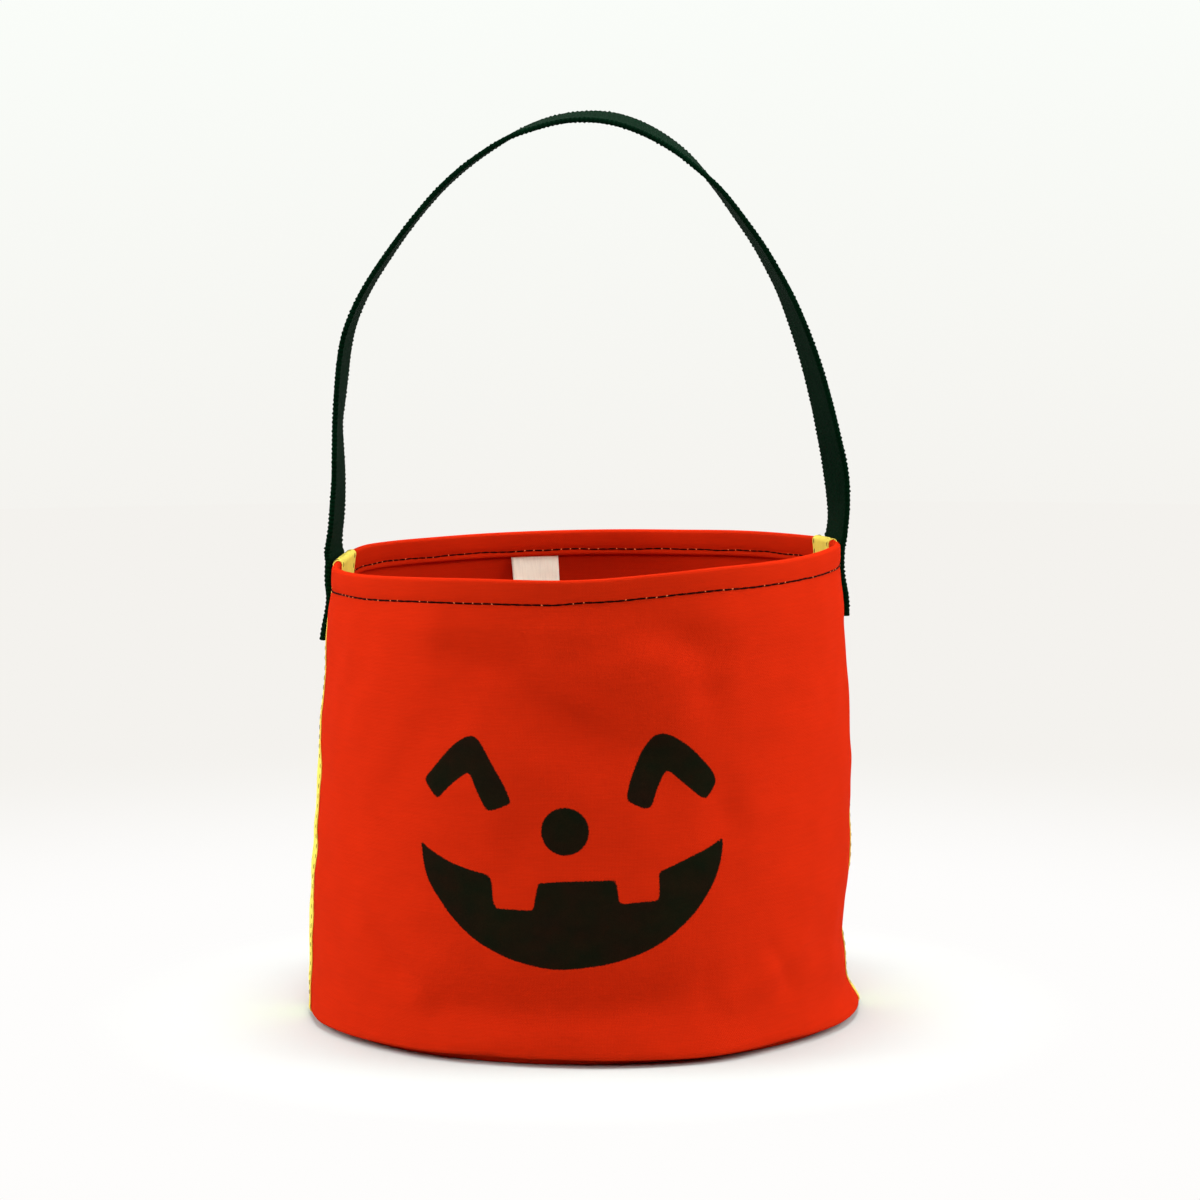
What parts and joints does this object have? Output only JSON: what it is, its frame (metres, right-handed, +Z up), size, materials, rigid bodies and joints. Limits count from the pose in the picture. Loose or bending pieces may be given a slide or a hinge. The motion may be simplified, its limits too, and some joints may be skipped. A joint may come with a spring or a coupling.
{
  "type": "fabric bucket bag",
  "caption": "Round canvas bucket with a turned-in rim hem, taped side seams, a bound base seam and an arched webbing handle.",
  "frame": {"origin": "centre of the round base, on the floor it stands on", "axes": "+Z up out of the mouth, +X to the right and +Y to the back, seen from the front panel, so the front faces -Y"},
  "size_m": [0.2338, 0.232, 0.3795],
  "materials": {
    "orange_canvas": "matt plain weave",
    "yellow_tape": "soft matt",
    "black_webbing": "matt ribbed weave",
    "black_binding": "matt",
    "cream_label": "matt"
  },
  "bodies": {
    "bucket": {"front_panel": "orange_canvas", "back_panel": "orange_canvas", "base_panel": "orange_canvas", "base_binding": "black_binding", "inner_label": "cream_label", "left_side_tape": "yellow_tape", "right_side_tape": "yellow_tape", "left_handle_end": "black_webbing", "right_handle_end": "black_webbing"},
    "handle": {"left_handle_flex": "black_webbing", "right_handle_flex": "black_webbing", "handle_loop": "black_webbing"}
  },
  "joints": [
    {"name": "handle_swing", "type": "hinge", "parent": "bucket", "child": "handle", "pos_m": [0, 0.0236, 0.2103], "axis": [1, 0, 0], "range_deg": [-98, 82], "deforming": ["left_handle_flex", "right_handle_flex"]}
  ]
}
